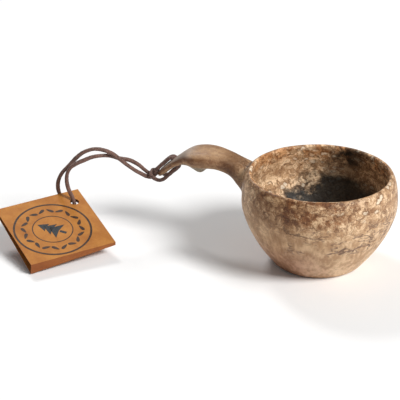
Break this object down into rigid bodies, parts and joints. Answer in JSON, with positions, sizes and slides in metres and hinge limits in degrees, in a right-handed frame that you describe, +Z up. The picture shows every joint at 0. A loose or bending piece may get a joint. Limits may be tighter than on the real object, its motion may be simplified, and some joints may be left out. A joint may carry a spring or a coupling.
{
  "type": "kuksa wooden cup",
  "caption": "Round carved drinking cup with an arched one-piece handle, a hitched leather lace and a folded square card tag.",
  "frame": {"origin": "centre of the bowl's flat base, on the surface that the cup stands on", "axes": "+Z up along the bowl's axis, -X along the handle from the bowl to the lace hole, +Y across the handle"},
  "size_m": [0.2649, 0.1537, 0.0671],
  "materials": {
    "burl_wood": "oiled, mottled burl grain, satin",
    "lace_leather": "matt, worn",
    "tag_card": "matt printed card"
  },
  "bodies": {
    "cup": {"cup_body": "burl_wood", "lanyard_hitch": "lace_leather"},
    "lanyard": {"lanyard_lower_strand": "lace_leather", "lanyard_upper_strand": "lace_leather", "lanyard_knot": "lace_leather"},
    "tag": {"swing_tag": "tag_card"}
  },
  "joints": [
    {"name": "lanyard_lift", "type": "hinge", "parent": "cup", "child": "lanyard", "pos_m": [-0.1286, -0.002, 0.0416], "axis": [-0.5, 0.866, 0], "range_deg": [0, 45]},
    {"name": "tag_swing", "type": "hinge", "parent": "lanyard", "child": "tag", "pos_m": [-0.17034, -0.02941, 0.02123], "axis": [-0.6098, -0.7918, -0.0349], "range_deg": [0, 34]}
  ]
}
